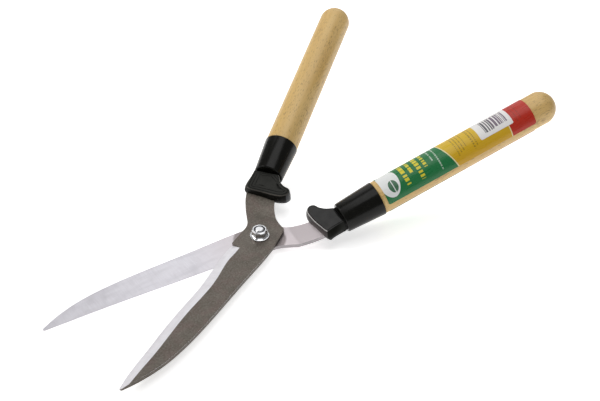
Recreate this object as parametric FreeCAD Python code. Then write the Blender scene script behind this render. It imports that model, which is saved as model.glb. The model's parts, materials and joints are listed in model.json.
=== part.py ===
import FreeCAD, Part
import math
import os

from FreeCAD import Vector

# Hedge shears: two steel halves that cross on one pivot bolt. Each half is a blade with
# a tang that is cranked upward, a moulded stop bumper, a ferrule and a wooden handle.
# All lengths are millimetres. A half is drawn in its own frame: the pivot is at the origin,
# +X runs to the blade's tip, +Y to its spine, and z = 0 is the middle of the plate.
# The rear half is drawn the same way, then mirrored and laid under the front half.

# ---- driving dimensions -------------------------------------------------------------
OPEN_HALF_ANGLE = 13.5      # each blade's angle from the centre line as the shears lie
PLATE = 3.5                 # thickness of both steel halves
PLATE_GAP = 0.1             # clearance between the two halves
BURR = 0.35                 # edge left standing at the end of the bevel

SPINE = [(-17.0, 15.6), (0.0, 18.3), (60.0, 19.6), (110.0, 20.2), (150.0, 19.0),
         (180.0, 14.4), (197.0, 8.8), (211.0, 2.2)]
TIP_X = 212.9
TIP_Y = 0.2
# the ground bevel: station from the pivot, cutting edge, bevel's inner line
FRONT_GRIND = [(22.5, -16.9, -8.7), (45.0, -15.9, -6.7), (62.0, -13.6, -3.8), (80.0, -11.5, -1.3),
               (110.0, -10.4, -0.9), (140.0, -9.1, 0.5), (170.0, -6.4, 3.0), (195.0, -4.4, 3.8),
               (204.0, -3.1, 4.3), (211.0, -1.8, 4.4)]
REAR_GRIND = [(22.5, -15.4, -6.2), (45.0, -13.2, -4.2), (62.0, -11.6, -2.4), (80.0, -10.4, -1.3),
              (110.0, -8.0, 0.2), (140.0, -5.6, 2.0), (170.0, -3.6, 3.8), (195.0, -2.4, 4.0),
              (204.0, -2.0, 4.3), (211.0, -1.6, 4.4)]
BEVEL_HEEL_BACK = 1.7       # the bevel's heel slants: this far back at the cutting edge
BEVEL_HEEL_ON = 0.6         # and this far on at the bevel's inner line
HEEL = (0.0, -17.6)         # where the heel runs into the outer side of the tang

BEND_RADIUS = 12.0
RISE = 17.6                 # the handle's climb out of the blade's plane
TANG_INNER = [(-44.0, -9.6), (-36.0, -4.7), (-30.3, 0.0), (-25.5, 5.7), (-21.6, 12.0)]
TANG_CORNER = (-20.2, 14.3)     # rounds the tang's inner side into the spine
TANG_ROOT = 27.0            # stations along the handle's axis, counted from the bend
TANG_SHOULDER = 35.0
TANG_POINT = 141.0
TANG_SHOULDER_HALF = 10.0
TANG_POINT_HALF = 3.0

# The bumpers from above, in the handle's frame, from the outer side round the front and the
# toe to the inner side: the widest outline, and the top face's outline.
FRONT_BUMPER_GIRTH = [(45.6, 13.0), (34.0, 16.6), (27.2, 16.9), (23.2, 14.8), (21.8, 8.0), (20.9, -4.0),
                      (19.3, -14.0), (19.6, -21.0), (22.0, -27.0), (27.8, -29.6), (32.8, -27.2),
                      (35.8, -20.8), (39.6, -15.9), (45.6, -13.0)]
FRONT_BUMPER_FACE = [(45.6, 12.6), (34.0, 13.1), (27.6, 13.2), (24.0, 11.9), (22.8, 7.0), (22.2, -5.0),
                     (21.7, -14.0), (21.9, -20.5), (24.0, -26.0), (28.2, -28.2), (32.5, -26.0),
                     (35.2, -20.0), (39.2, -15.3), (45.6, -12.6)]
REAR_BUMPER_GIRTH = [(45.6, 13.0), (34.0, 16.4), (28.8, 16.5), (25.3, 14.6), (23.8, 8.0), (22.1, -4.0),
                     (20.6, -13.0), (20.8, -19.6), (23.0, -25.4), (28.2, -28.0), (32.8, -25.6),
                     (35.6, -19.8), (39.4, -15.9), (45.6, -13.0)]
REAR_BUMPER_FACE = [(45.6, 12.7), (34.0, 13.2), (30.2, 13.8), (27.6, 13.4), (26.0, 7.0), (24.0, -4.5),
                    (23.4, -13.0), (23.5, -19.0), (25.1, -24.4), (28.8, -26.9), (32.7, -24.8),
                    (35.2, -19.4), (39.2, -15.3), (45.6, -12.6)]
BUMPER_FOOT_SHRINK = 1.4    # the foot's outline is drawn in this much further than the top's
BUMPER_CURVE = 1.6          # how full the sides are between the girth and the top or foot
BUMPER_TOP = 8.2
BUMPER_GIRTH = 1.6          # height of the widest outline
BUMPER_BOTTOM = -5.8
BUMPER_LEVELS = [-1.0, -0.75, -0.4, 0.0, 0.4, 0.75, 1.0]     # sections, -1 foot, 0 girth, 1 top
NECK_HALF_WIDTH = 12.6
NECK_HALF_HEIGHT = 5.6
NECK_SUNK = 0.5             # how far the neck starts inside the block
FERRULE_START = 47.8
FERRULE_END = 86.6
FERRULE_SMALL_R = 14.5
FERRULE_LARGE_R = 16.8
FERRULE_WALL = 2.2
FERRULE_EDGE = 0.9          # chamfer at the small end
FERRULE_LIP = 0.4           # chamfer round the mouth

HANDLE_R = 16.2
HANDLE_STRAIGHT = 183.0     # from the ferrule's mouth to the start of the round end
HANDLE_DOME = 14.0          # height of the round end
LABEL_START = 91.1
LABEL_LENGTH = 162.5
LABEL_THICK = 0.25
LABEL_FREE_EDGE = 87.0      # angle from the top, towards the outer side
LABEL_WRAP = 315.0
STICKER_START = 196.8
STICKER_LENGTH = 36.0
STICKER_THICK = 0.15
STICKER_LOW_EDGE = 46.0
STICKER_WRAP = 92.0

BOLT_R = 4.0                # M8
BOLT_CLEARANCE = 0.05
BOLT_HEAD_R = 10.0
BOLT_HEAD_RIM = 0.9
BOLT_HEAD_HEIGHT = 4.6
BOLT_END = 12.0             # heights are counted from the mating plane of the two halves
BOLT_LEAD = 0.7
NUT_FLANGE_R = 9.0
NUT_FLANGE_RIM = 1.0
NUT_FLANGE_EDGE = 0.3
NUT_CONE_HEIGHT = 2.4       # the flange's cone meets the hexagon here, above the nut's base
NUT_CONE_R = 6.3
NUT_ACROSS_FLATS = 13.0
NUT_TURN = 42.0
NUT_CORNER_DROP = 0.9       # the hexagon's corners are turned off this far below its top
NUT_HEX_TOP = 10.4
NUT_TOP = 11.7
NUT_CROWN_R = 6.6
NUT_CROWN_EDGE = [(-0.6, 0.0), (-0.15, -0.15), (0.0, -0.45)]    # from its top and radius
INSERT_R = 5.3
INSERT_DEPTH = 1.9
INSERT_SUNK = 0.4           # the insert's face lies this far below the crown's edge

Z_MID = (PLATE + PLATE_GAP) / 2.0
Z_TOP = Z_MID + PLATE / 2.0
UP = Vector(0, 0, 1)


class Half:
    """What differs between the two halves, which are otherwise mirror images."""

    def __init__(self, grind, bevel_up, bend, splay, tang_outer, root_inner, root_outer, girth, face):
        self.grind = grind
        self.bevel_up = bevel_up        # +1 if the bevel is on the top face, -1 if below
        self.bend = bend                # where the tang's middle line turns upward
        self.splay = splay              # the handle's angle to the blade, seen from above
        self.tang_outer = tang_outer
        self.root_inner = root_inner    # the tang's reach to each side where it enters the bumper
        self.root_outer = root_outer
        self.girth = girth              # the bumper's widest outline
        self.face = face                # the outline of its top face


FRONT = Half(FRONT_GRIND, 1, (-26.4, -24.4), 9.5,
             [(-10.0, -19.3), (-20.0, -25.9), (-31.0, -34.0)], 15.4, 13.6,
             FRONT_BUMPER_GIRTH, FRONT_BUMPER_FACE)
REAR = Half(REAR_GRIND, -1, (-26.4, -22.5), 10.0,
            [(-10.0, -18.9), (-20.0, -23.8), (-31.0, -29.9)], 13.6, 10.8,
            REAR_BUMPER_GIRTH, REAR_BUMPER_FACE)


# ---- helpers ------------------------------------------------------------------------
def spline(points):
    """A smooth edge through plan points."""
    curve = Part.BSplineCurve()
    curve.interpolate([Vector(x, y, 0) for x, y in points])
    return curve.toShape()


def line(a, b):
    """A straight edge between two plan points."""
    return Part.LineSegment(Vector(a[0], a[1], 0), Vector(b[0], b[1], 0)).toShape()


def arc(a, b, c):
    """A round edge through three plan points."""
    return Part.Arc(Vector(a[0], a[1], 0), Vector(b[0], b[1], 0), Vector(c[0], c[1], 0)).toShape()


def prism(edges, low, high):
    """The closed outline of plan edges, raised from low to high."""
    face = Part.Face(Part.Wire(Part.__sortEdges__(edges)))
    face.translate(Vector(0, 0, low))
    return face.extrude(Vector(0, 0, high - low))


def spin(profile, axis):
    """A solid of revolution from (station, radius) points about +X or +Z."""
    along_x = axis.x > 0.5
    points = [Vector(s, 0, r) if along_x else Vector(r, 0, s) for s, r in profile]
    face = Part.Face(Part.makePolygon(points + points[:1]))
    return face.revolve(Vector(0, 0, 0), axis, 360)


def handle_point(half, station, inward):
    """The plan point at a station along the handle's axis and a distance inward from it."""
    run = station * math.cos(math.radians(RISE))
    c = math.cos(math.radians(half.splay))
    s = math.sin(math.radians(half.splay))
    return (half.bend[0] - run * c - inward * s, half.bend[1] - run * s + inward * c)


def handle_frame(half):
    """Places +X along the handle's axis, +Y outward and +Z out of the tang's face."""
    rise = math.radians(RISE)
    splay = math.radians(half.splay)
    run = math.cos(rise)
    along = Vector(-run * math.cos(splay), -run * math.sin(splay), math.sin(rise))
    outward = Vector(math.sin(splay), -math.cos(splay), 0)
    normal = along.cross(outward)
    return FreeCAD.Placement(FreeCAD.Matrix(
        along.x, outward.x, normal.x, half.bend[0],
        along.y, outward.y, normal.y, half.bend[1],
        along.z, outward.z, normal.z, 0,
        0, 0, 0, 1))


def on_handle(half, shape):
    """Moves a shape from the handle's frame to the half's frame."""
    moved = shape.copy()
    moved.Placement = handle_frame(half).multiply(shape.Placement)
    return moved


# ---- the steel halves ---------------------------------------------------------------
def bent_ribbon(half):
    """A wide strip of plate, flat over the blade and bent upward along the handle."""
    rise = math.radians(RISE)
    lead = BEND_RADIUS * math.tan(rise / 2)
    skin = PLATE / 2.0
    half_width = 90.0

    def on_bend(radius, angle):
        return Vector(-lead + radius * math.sin(angle), 0, BEND_RADIUS - radius * math.cos(angle))

    far = 170.0 * Vector(math.cos(rise), 0, math.sin(rise))
    low, high = BEND_RADIUS + skin, BEND_RADIUS - skin
    flat_end = Vector(-260.0, 0, 0)
    edges = [
        Part.LineSegment(flat_end - skin * UP, on_bend(low, 0)).toShape(),
        Part.Arc(on_bend(low, 0), on_bend(low, rise / 2), on_bend(low, rise)).toShape(),
        Part.LineSegment(on_bend(low, rise), on_bend(low, rise) + far).toShape(),
        Part.LineSegment(on_bend(low, rise) + far, on_bend(high, rise) + far).toShape(),
        Part.LineSegment(on_bend(high, rise) + far, on_bend(high, rise)).toShape(),
        Part.Arc(on_bend(high, rise), on_bend(high, rise / 2), on_bend(high, 0)).toShape(),
        Part.LineSegment(on_bend(high, 0), flat_end + skin * UP).toShape(),
        Part.LineSegment(flat_end + skin * UP, flat_end - skin * UP).toShape(),
    ]
    face = Part.Face(Part.Wire(edges))
    face.translate(Vector(0, -half_width, 0))
    ribbon = face.extrude(Vector(0, 2 * half_width, 0))
    ribbon.rotate(Vector(0, 0, 0), UP, 180 + half.splay)
    ribbon.translate(Vector(half.bend[0], half.bend[1], 0))
    return ribbon


def half_outline(half):
    """The plan outline of one steel half, from the tang's point round the blade and back."""
    root_in = handle_point(half, TANG_ROOT, half.root_inner)
    root_out = handle_point(half, TANG_ROOT, -half.root_outer)
    shoulder_in = handle_point(half, TANG_SHOULDER, TANG_SHOULDER_HALF)
    shoulder_out = handle_point(half, TANG_SHOULDER, -TANG_SHOULDER_HALF)
    point_in = handle_point(half, TANG_POINT, TANG_POINT_HALF)
    point_out = handle_point(half, TANG_POINT, -TANG_POINT_HALF)
    edge = [(x, y) for x, y, _ in reversed(half.grind)]
    return [
        line(point_in, shoulder_in),
        line(shoulder_in, root_in),
        spline([root_in] + TANG_INNER),
        arc(TANG_INNER[-1], TANG_CORNER, SPINE[0]),
        spline(SPINE),
        arc(SPINE[-1], (TIP_X, TIP_Y), edge[0]),
        spline(edge),
        line(edge[-1], HEEL),
        spline([HEEL] + half.tang_outer + [root_out]),
        line(root_out, shoulder_out),
        line(shoulder_out, point_out),
        line(point_out, point_in),
    ]


def bevel_cutter(half):
    """The metal that grinding takes off along the cutting edge."""
    reach = 3.0
    overrun = 6.0
    up = half.bevel_up
    first, last = half.grind[0], half.grind[-1]
    stations = [(first[0] - overrun, first[1], first[2])] + half.grind[1:]
    stations.append((last[0] + overrun, last[1], last[2]))
    wires = []
    for x, edge, inner in stations:
        slope = (PLATE - BURR) / (inner - edge)
        low = up * (-PLATE / 2 + BURR - reach * slope)
        high = up * (PLATE / 2 + reach * slope)
        wires.append(Part.makePolygon([
            Vector(x, edge - reach, low),
            Vector(x, inner + reach, high),
            Vector(x, edge - reach, high),
            Vector(x, edge - reach, low),
        ]))
    x, edge, inner = first
    slant = (BEVEL_HEEL_BACK + BEVEL_HEEL_ON) / (inner - edge)
    heel_low = (x - BEVEL_HEEL_BACK - slant * reach, edge - reach)
    heel_high = (x + BEVEL_HEEL_ON + slant * 2 * reach, inner + 2 * reach)
    back = x - 3 * overrun
    corners = [heel_low, heel_high, (back, heel_high[1]), (back, heel_low[1])]
    edges = [line(a, b) for a, b in zip(corners, corners[1:] + corners[:1])]
    return Part.makeLoft(wires, True, False).cut(prism(edges, -30, 30))


def steel_half(half, hole):
    """One half: blade, pivot plate and tang in a single piece of plate."""
    steel = bent_ribbon(half).common(prism(half_outline(half), -20, 80))
    steel = steel.cut(bevel_cutter(half))
    return steel.cut(hole).Solids[0]


def round_bore():
    """The front half turns on the bolt in this bore."""
    return Part.makeCylinder(BOLT_R + BOLT_CLEARANCE, 20, Vector(0, 0, -10))


def square_hole():
    """The bolt's neck is keyed in the rear half by this hole."""
    side = 2 * BOLT_R
    return Part.makeBox(side, side, 20, Vector(-side / 2, -side / 2, -10))


# ---- the handle assembly of one half ------------------------------------------------
def bumper_section(half, level):
    """The bumper's closed outline at a level from -1, its foot, over 0, its girth, to 1, its top."""
    share = abs(level) ** BUMPER_CURVE
    if level < 0:
        share *= BUMPER_FOOT_SHRINK
    reach = BUMPER_TOP - BUMPER_GIRTH if level > 0 else BUMPER_GIRTH - BUMPER_BOTTOM
    points = [(gx + (fx - gx) * share, gy + (fy - gy) * share)
              for (gx, gy), (fx, fy) in zip(half.girth, half.face)]
    wire = Part.Wire([spline(points), line(points[-1], points[0])])
    wire.translate(Vector(0, 0, BUMPER_GIRTH + level * reach))
    return wire


def bumper(half, tang):
    """The moulded stop: a full-bellied block with a toe that meets the other half's toe."""
    end = half.girth[0][0]
    body = Part.makeLoft([bumper_section(half, level) for level in BUMPER_LEVELS], True, True)
    neck = Part.makeBox(FERRULE_START - end + NECK_SUNK, 2 * NECK_HALF_WIDTH, 2 * NECK_HALF_HEIGHT,
                        Vector(end - NECK_SUNK, -NECK_HALF_WIDTH, -NECK_HALF_HEIGHT))
    return on_handle(half, body.fuse(neck).removeSplitter()).cut(tang).Solids[0]


def ferrule(half, tang):
    """The socket that the wood is driven into, closed at the tang's end."""
    start, end = FERRULE_START, FERRULE_END
    wall = FERRULE_WALL
    cup = spin([
        (start, 0), (start, FERRULE_SMALL_R - FERRULE_EDGE), (start + FERRULE_EDGE, FERRULE_SMALL_R),
        (end - FERRULE_LIP, FERRULE_LARGE_R), (end, FERRULE_LARGE_R - FERRULE_LIP),
        (end, FERRULE_LARGE_R - wall), (start + wall, FERRULE_SMALL_R - wall), (start + wall, 0),
    ], Vector(1, 0, 0))
    return on_handle(half, cup).cut(tang).Solids[0]


def handle(half, tang):
    """The turned wooden grip: a tapered spigot inside the ferrule, and a round end."""
    start = FERRULE_START + FERRULE_WALL
    end = FERRULE_END
    straight = end + HANDLE_STRAIGHT
    tip = straight + HANDLE_DOME
    ball = (HANDLE_R ** 2 + HANDLE_DOME ** 2) / (2 * HANDLE_DOME)
    middle = math.asin(HANDLE_R / ball) / 2
    on_dome = Vector(tip - ball + ball * math.cos(middle), 0, ball * math.sin(middle))
    edges = [
        Part.LineSegment(Vector(start, 0, 0), Vector(start, 0, FERRULE_SMALL_R - FERRULE_WALL)),
        Part.LineSegment(Vector(start, 0, FERRULE_SMALL_R - FERRULE_WALL),
                         Vector(end, 0, FERRULE_LARGE_R - FERRULE_WALL)),
        Part.LineSegment(Vector(end, 0, FERRULE_LARGE_R - FERRULE_WALL), Vector(end, 0, HANDLE_R)),
        Part.LineSegment(Vector(end, 0, HANDLE_R), Vector(straight, 0, HANDLE_R)),
        Part.Arc(Vector(straight, 0, HANDLE_R), on_dome, Vector(tip, 0, 0)),
        Part.LineSegment(Vector(tip, 0, 0), Vector(start, 0, 0)),
    ]
    face = Part.Face(Part.Wire([e.toShape() for e in edges]))
    wood = face.revolve(Vector(0, 0, 0), Vector(1, 0, 0), 360)
    return on_handle(half, wood).cut(tang).Solids[0]


def wrap(start, length, inner, thick, low_edge, angle):
    """A thin sheet wrapped round the rear handle, from its outer side over the top."""
    face = Part.Face(Part.makePolygon([
        Vector(start, 0, inner), Vector(start + length, 0, inner),
        Vector(start + length, 0, inner + thick), Vector(start, 0, inner + thick),
        Vector(start, 0, inner),
    ]))
    axis = Vector(1, 0, 0)
    face.rotate(Vector(0, 0, 0), axis, -low_edge)
    return on_handle(REAR, face.revolve(Vector(0, 0, 0), axis, angle))


# ---- the pivot ----------------------------------------------------------------------
def pivot_bolt():
    """A carriage bolt: domed head under the rear half, square neck, plain shank."""
    bottom = -Z_TOP
    crown = bottom - BOLT_HEAD_HEIGHT
    dome = BOLT_HEAD_HEIGHT - BOLT_HEAD_RIM
    ball_r = (BOLT_HEAD_R ** 2 + dome ** 2) / (2 * dome)
    head = Part.makeCylinder(BOLT_HEAD_R, BOLT_HEAD_HEIGHT, Vector(0, 0, crown))
    head = head.common(Part.makeSphere(ball_r, Vector(0, 0, crown + ball_r)))
    side = 2 * BOLT_R
    neck = Part.makeBox(side, side, PLATE, Vector(-side / 2, -side / 2, bottom))
    neck.rotate(Vector(0, 0, 0), UP, -OPEN_HALF_ANGLE)
    shank = spin([(bottom, 0), (bottom, BOLT_R), (BOLT_END - BOLT_LEAD, BOLT_R),
                  (BOLT_END, BOLT_R - BOLT_LEAD), (BOLT_END, 0)], UP)
    return head.fuse([neck, shank]).removeSplitter().Solids[0]


def pivot_nut():
    """A flange lock nut: conical flange, hexagon with turned-off corners, round crown."""
    base = Z_TOP + PLATE_GAP / 2
    across_corners = NUT_ACROSS_FLATS / math.cos(math.radians(30))
    corners = []
    for k in range(7):
        angle = math.radians(60 * k + 30 + NUT_TURN)
        corners.append(Vector(math.cos(angle), math.sin(angle), 0) * (across_corners / 2))
    hexagon = Part.Face(Part.makePolygon(corners)).extrude(Vector(0, 0, NUT_HEX_TOP - base))
    hexagon.translate(Vector(0, 0, base))
    corner_r = across_corners / 2
    rounding = spin([(base, 0), (base, NUT_FLANGE_R), (NUT_HEX_TOP - NUT_CORNER_DROP, corner_r),
                     (NUT_HEX_TOP, NUT_ACROSS_FLATS / 2), (NUT_HEX_TOP, 0)], UP)
    edge = NUT_FLANGE_EDGE
    flange = spin([(base, 0), (base, NUT_FLANGE_R - edge), (base + edge, NUT_FLANGE_R),
                   (base + NUT_FLANGE_RIM, NUT_FLANGE_R), (base + NUT_CONE_HEIGHT, NUT_CONE_R),
                   (base + NUT_CONE_HEIGHT, 0)], UP)
    foot = NUT_HEX_TOP - NUT_CORNER_DROP
    crown_edge = [(NUT_TOP + rise, NUT_CROWN_R + step) for rise, step in NUT_CROWN_EDGE]
    crown = spin([(foot, 0), (foot, NUT_CROWN_R)] + crown_edge + [(NUT_TOP, 0)], UP)
    nut = hexagon.common(rounding).fuse([flange, crown]).removeSplitter()
    bore = Part.makeCylinder(BOLT_R, 2 * NUT_TOP, Vector(0, 0, 0))
    pocket = Part.makeCylinder(INSERT_R, 2 * INSERT_DEPTH, Vector(0, 0, NUT_TOP - INSERT_DEPTH))
    return nut.cut(bore).cut(pocket).Solids[0]


def nut_insert():
    """The nylon ring in the nut's crown that grips the bolt."""
    low = NUT_TOP - INSERT_DEPTH
    depth = INSERT_DEPTH - INSERT_SUNK
    ring = Part.makeCylinder(INSERT_R, depth, Vector(0, 0, low))
    return ring.cut(Part.makeCylinder(BOLT_R, depth, Vector(0, 0, low))).Solids[0]


# ---- assembly -----------------------------------------------------------------------
def place_front(shape):
    """Opens the front half about the pivot."""
    placed = shape.copy()
    placed.translate(Vector(0, 0, Z_MID))
    placed.rotate(Vector(0, 0, 0), UP, OPEN_HALF_ANGLE)
    return placed


def place_rear(shape):
    """Mirrors a half's piece, lowers it under the front half and opens it."""
    placed = shape.mirror(Vector(0, 0, 0), Vector(0, 1, 0))
    placed.translate(Vector(0, 0, -Z_MID))
    placed.rotate(Vector(0, 0, 0), UP, -OPEN_HALF_ANGLE)
    return placed


def build():
    """Every node of the shears by name, about the pivot."""
    nodes = {}
    halves = [("front", FRONT, round_bore(), place_front), ("rear", REAR, square_hole(), place_rear)]
    for name, half, hole, place in halves:
        steel = steel_half(half, hole)
        nodes[name + "_blade"] = place(steel)
        nodes[name + "_bumper"] = place(bumper(half, steel))
        nodes[name + "_ferrule"] = place(ferrule(half, steel))
        nodes[name + "_handle"] = place(handle(half, steel))
    nodes["product_label"] = place_rear(wrap(
        LABEL_START, LABEL_LENGTH, HANDLE_R, LABEL_THICK, LABEL_FREE_EDGE, LABEL_WRAP))
    nodes["barcode_sticker"] = place_rear(wrap(
        STICKER_START, STICKER_LENGTH, HANDLE_R + LABEL_THICK, STICKER_THICK,
        STICKER_LOW_EDGE, STICKER_WRAP))
    nodes["pivot_bolt"] = pivot_bolt()
    nodes["pivot_nut"] = pivot_nut()
    nodes["nut_insert"] = nut_insert()
    return nodes


def main():
    nodes = build()
    box = FreeCAD.BoundBox()
    for shape in nodes.values():
        box.add(shape.optimalBoundingBox(False, False))
    shift = Vector(-box.Center.x, -box.Center.y, -box.ZMin)
    print("pivot at", shift.x, shift.y, shift.z, "size", box.XLength, box.YLength, box.ZLength)
    os.makedirs("parts", exist_ok=True)
    for name, shape in nodes.items():
        shape.translate(shift)
        shape.exportStep("parts/" + name + ".step")
        print(name, shape.ShapeType, len(shape.Solids), shape.isValid(), round(shape.Volume, 1))


main()
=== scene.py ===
import json
import math

import bmesh
import bpy
from mathutils import Matrix, Vector, noise


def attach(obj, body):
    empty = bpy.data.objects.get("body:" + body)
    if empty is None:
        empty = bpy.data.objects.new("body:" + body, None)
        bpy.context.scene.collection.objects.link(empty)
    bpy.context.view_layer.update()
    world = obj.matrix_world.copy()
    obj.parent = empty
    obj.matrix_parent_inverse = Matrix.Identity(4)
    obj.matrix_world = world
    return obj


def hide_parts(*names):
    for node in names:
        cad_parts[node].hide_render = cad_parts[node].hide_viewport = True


# Hedge shears. Each half is a steel blade and tang, a moulded bumper, a ferrule and a wooden
# handle. Turned pieces are built in the handle's own frame: the origin is the middle of the
# ferrule's mouth, +X runs to the free end and +Z is up from the wood's top line. Steel is
# built in its blade's frame: the origin is the pivot and +X runs to the blade's tip.

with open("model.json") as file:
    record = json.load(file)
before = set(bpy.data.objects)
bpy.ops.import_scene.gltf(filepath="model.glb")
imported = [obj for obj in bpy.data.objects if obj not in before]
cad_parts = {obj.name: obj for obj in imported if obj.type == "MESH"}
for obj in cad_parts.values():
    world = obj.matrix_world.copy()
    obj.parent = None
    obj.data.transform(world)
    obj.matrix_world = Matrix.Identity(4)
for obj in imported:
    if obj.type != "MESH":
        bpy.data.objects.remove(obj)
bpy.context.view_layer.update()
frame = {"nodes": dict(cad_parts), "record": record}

MM = 0.001
RECORD = frame["record"]
MOUNTS = {m["name"]: m for m in RECORD["mounts"]}
PIVOT = Vector(RECORD["behaviour"]["joints"][0]["pos_m"])
BODIES = {"front": "front_half", "rear": "rear_half"}

GRIP_LENGTH = MOUNTS["front_grip"]["dims"]["length_mm"] * MM
GRIP_R = MOUNTS["front_grip"]["dims"]["r_mm"] * MM
GRIP_DOME = 14.0 * MM           # height of the grip's round end
FERRULE_LENGTH = 38.8 * MM
FERRULE_SMALL_R = 14.5 * MM
FERRULE_LARGE_R = 16.8 * MM
OPEN_HALF_ANGLE = 13.5
PLATE = 3.5 * MM
PLATE_GAP = 0.1 * MM
# where each tang's middle line turns upward, from the pivot, and the handle's angle to the blade
BEND = {"front": (-26.4 * MM, -24.4 * MM), "rear": (-26.4 * MM, 22.5 * MM)}
SPLAY = {"front": 9.5, "rear": -10.0}
RISE = 17.6                     # the handles' climb out of the blades' plane
BEND_TO_MOUTH = 86.6 * MM       # along the handle's axis, from the bend to the ferrule's mouth

LABEL_START = 4.5 * MM
LABEL_END = 167.0 * MM
LABEL_LOW = -87.0               # degrees from the top line, minus on the outer side
LABEL_WRAP = 315.0
LABEL_R = GRIP_R + 0.25 * MM
STICKER_START = 110.2 * MM
STICKER_END = 146.2 * MM
STICKER_LOW = -46.0
STICKER_WRAP = 92.0
STICKER_R = LABEL_R + 0.15 * MM

SHARP_ANGLE = 25                # degrees; a CAD edge sharper than this is rounded over
ON_AXIS = 1e-7                  # a turned profile's point nearer to the axis than this is on it
# the wall and lower-edge slots hold darker copies of the steel, painted shade
STEEL_SLOTS = {"face": 0, "bevel": 1, "edge": 2, "wall": 3, "shaded_lower_edge": 4}


# ---- placing ------------------------------------------------------------------------
def blade_frame(side):
    """The blade's own frame at the middle of its plate over the pivot."""
    sign = 1 if side == "front" else -1
    middle = Matrix.Translation(PIVOT + Vector((0, 0, sign * (PLATE + PLATE_GAP) / 2)))
    return middle @ Matrix.Rotation(math.radians(sign * OPEN_HALF_ANGLE), 4, "Z")


def handle_frame(side):
    """The handle's own frame, worked out from the tang's bend."""
    rise, splay = math.radians(RISE), math.radians(SPLAY[side])
    along = Vector((-math.cos(rise) * math.cos(splay), -math.cos(rise) * math.sin(splay),
                    math.sin(rise)))
    across = Vector((0, 0, 1)).cross(along).normalized()
    local = Matrix((along, across, along.cross(across))).transposed().to_4x4()
    local.translation = Vector((*BEND[side], 0)) + along * BEND_TO_MOUTH
    return blade_frame(side) @ local


def add_piece(name, mesh, place, body, materials, node, smooth=35):
    """Puts a mesh into the scene as a piece that rides on a body and stands for a CAD node."""
    mesh.transform(place)
    piece = bpy.data.objects.new(name, mesh)
    bpy.context.scene.collection.objects.link(piece)
    if not mesh.materials:
        for material in materials:
            mesh.materials.append(material)
    if smooth:
        mesh.shade_smooth()
        mesh.set_sharp_from_angle(angle=math.radians(smooth))
    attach(piece, body)
    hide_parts(node)


# ---- mesh building ------------------------------------------------------------------
def rounded(points, radii, steps=4):
    """A profile of (station, radius) points whose corners are rounded by the given radii."""
    result = [points[0]]
    for i in range(1, len(points) - 1):
        corner, radius = Vector(points[i]), radii[i]
        before, after = Vector(points[i - 1]) - corner, Vector(points[i + 1]) - corner
        reach = min(radius, before.length / 2, after.length / 2)
        if reach <= 0:
            result.append(tuple(corner))
            continue
        start, end = corner + before.normalized() * reach, corner + after.normalized() * reach
        for k in range(steps + 1):
            t = k / steps
            result.append(tuple(start * (1 - t) ** 2 + corner * (2 * t * (1 - t)) + end * t ** 2))
    result.append(points[-1])
    return result


def finished(name, mesh):
    """The mesh data of a bmesh, with its normals turned outward. The bmesh is used up."""
    bmesh.ops.recalc_face_normals(mesh, faces=mesh.faces)
    data = bpy.data.meshes.new(name)
    mesh.to_mesh(data)
    mesh.free()
    return data


def ring_round_x(mesh, station, radius, segments, shape):
    """A ring of vertices about +X. shape may give each point another station and radius."""
    ring = []
    for k in range(segments):
        angle = 2 * math.pi * k / segments
        x, r = shape(station, radius, angle) if shape else (station, radius)
        ring.append(mesh.verts.new((x, r * math.sin(angle), r * math.cos(angle))))
    return ring


def lathe(name, profile, segments=96, shape=None):
    """A closed turned solid about +X; its profile starts and ends on the axis."""
    mesh = bmesh.new()
    rings = []
    for station, radius in profile:
        if radius < ON_AXIS:
            rings.append([mesh.verts.new((station, 0, 0))])
        else:
            rings.append(ring_round_x(mesh, station, radius, segments, shape))
    for a, b in zip(rings, rings[1:]):
        for k in range(segments):
            j = (k + 1) % segments
            if len(a) == 1:
                mesh.faces.new((a[0], b[k], b[j]))
            elif len(b) == 1:
                mesh.faces.new((a[k], b[0], a[j]))
            else:
                mesh.faces.new((a[k], b[k], b[j], a[j]))
    return finished(name, mesh)


def tube(name, profile, segments=96, shape=None):
    """A turned ring about +X from a closed profile that doesn't touch the axis."""
    mesh = bmesh.new()
    rings = [ring_round_x(mesh, station, radius, segments, shape) for station, radius in profile]
    for a, b in zip(rings, rings[1:] + rings[:1]):
        for k in range(segments):
            j = (k + 1) % segments
            mesh.faces.new((a[k], b[k], b[j], a[j]))
    return finished(name, mesh)


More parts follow.
